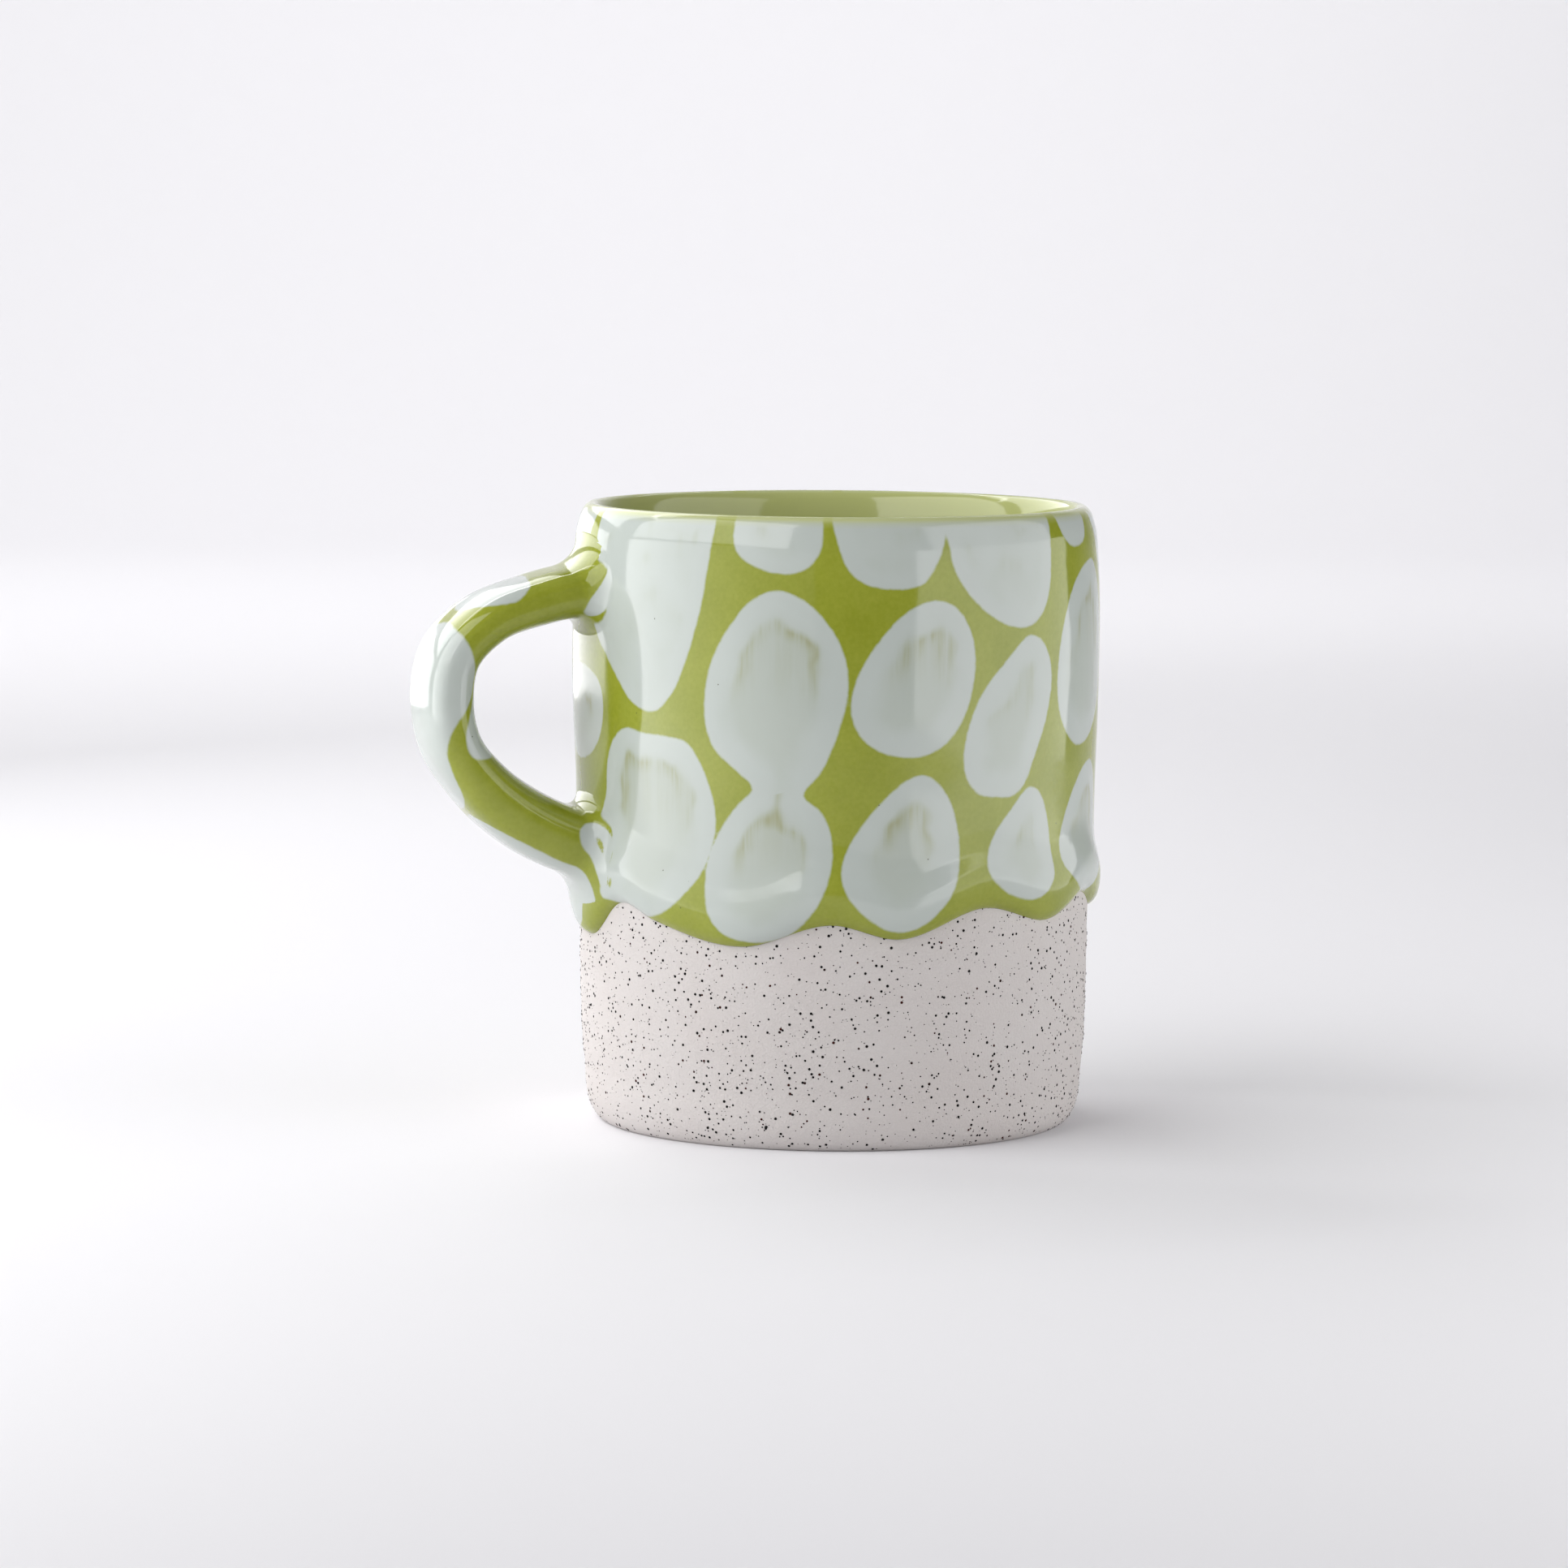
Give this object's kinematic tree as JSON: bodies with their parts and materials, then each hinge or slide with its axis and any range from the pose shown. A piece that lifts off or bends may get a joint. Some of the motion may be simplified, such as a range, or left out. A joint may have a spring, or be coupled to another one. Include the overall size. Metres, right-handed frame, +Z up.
{
  "type": "stoneware mug",
  "caption": "Hand-thrown stoneware mug with a pulled strap handle, a dripping green glaze coat with pale spots, and a bare speckled clay base.",
  "frame": {"origin": "centre of the flat foot the mug rests on, on the cup's axis", "axes": "+Z up along the cup's axis, -X towards the handle, +Y to the side"},
  "size_m": [0.1167, 0.09, 0.1022],
  "materials": {
    "bare_clay": "unglazed fired stoneware, fine grog, black iron specks",
    "slip_clay": "fired slip that joins the handle to the cup",
    "liner_glaze": "glossy food-safe green liner glaze",
    "green_glaze": "glossy lime-green glaze, rolled at its drip edge",
    "pale_glaze": "glossy pale blue-white glaze, melted flush into the coat"
  },
  "bodies": {
    "root": {"clay_cup": "bare_clay", "clay_handle": "bare_clay", "handle_back_spot": "pale_glaze", "handle_crown_spot": "pale_glaze", "handle_glaze": "green_glaze", "handle_inner_spot": "pale_glaze", "handle_under_spot": "pale_glaze", "hourglass_spot": "pale_glaze", "liner_glaze": "liner_glaze", "lower_slip_joint": "slip_clay", "lower_spot_1": "pale_glaze", "lower_spot_2": "pale_glaze", "lower_spot_3": "pale_glaze", "lower_spot_4": "pale_glaze", "lower_spot_5": "pale_glaze", "lower_spot_6": "pale_glaze", "lower_spot_7": "pale_glaze", "lower_spot_8": "pale_glaze", "lower_spot_9": "pale_glaze", "middle_spot_1": "pale_glaze", "middle_spot_10": "pale_glaze", "middle_spot_2": "pale_glaze", "middle_spot_3": "pale_glaze", "middle_spot_4": "pale_glaze", "middle_spot_5": "pale_glaze", "middle_spot_6": "pale_glaze", "middle_spot_7": "pale_glaze", "middle_spot_8": "pale_glaze", "middle_spot_9": "pale_glaze", "outer_glaze": "green_glaze", "rim_spot_1": "pale_glaze", "rim_spot_10": "pale_glaze", "rim_spot_11": "pale_glaze", "rim_spot_12": "pale_glaze", "rim_spot_2": "pale_glaze", "rim_spot_3": "pale_glaze", "rim_spot_4": "pale_glaze", "rim_spot_5": "pale_glaze", "rim_spot_6": "pale_glaze", "rim_spot_7": "pale_glaze", "rim_spot_8": "pale_glaze", "rim_spot_9": "pale_glaze", "upper_slip_joint": "slip_clay"}
  },
  "joints": []
}
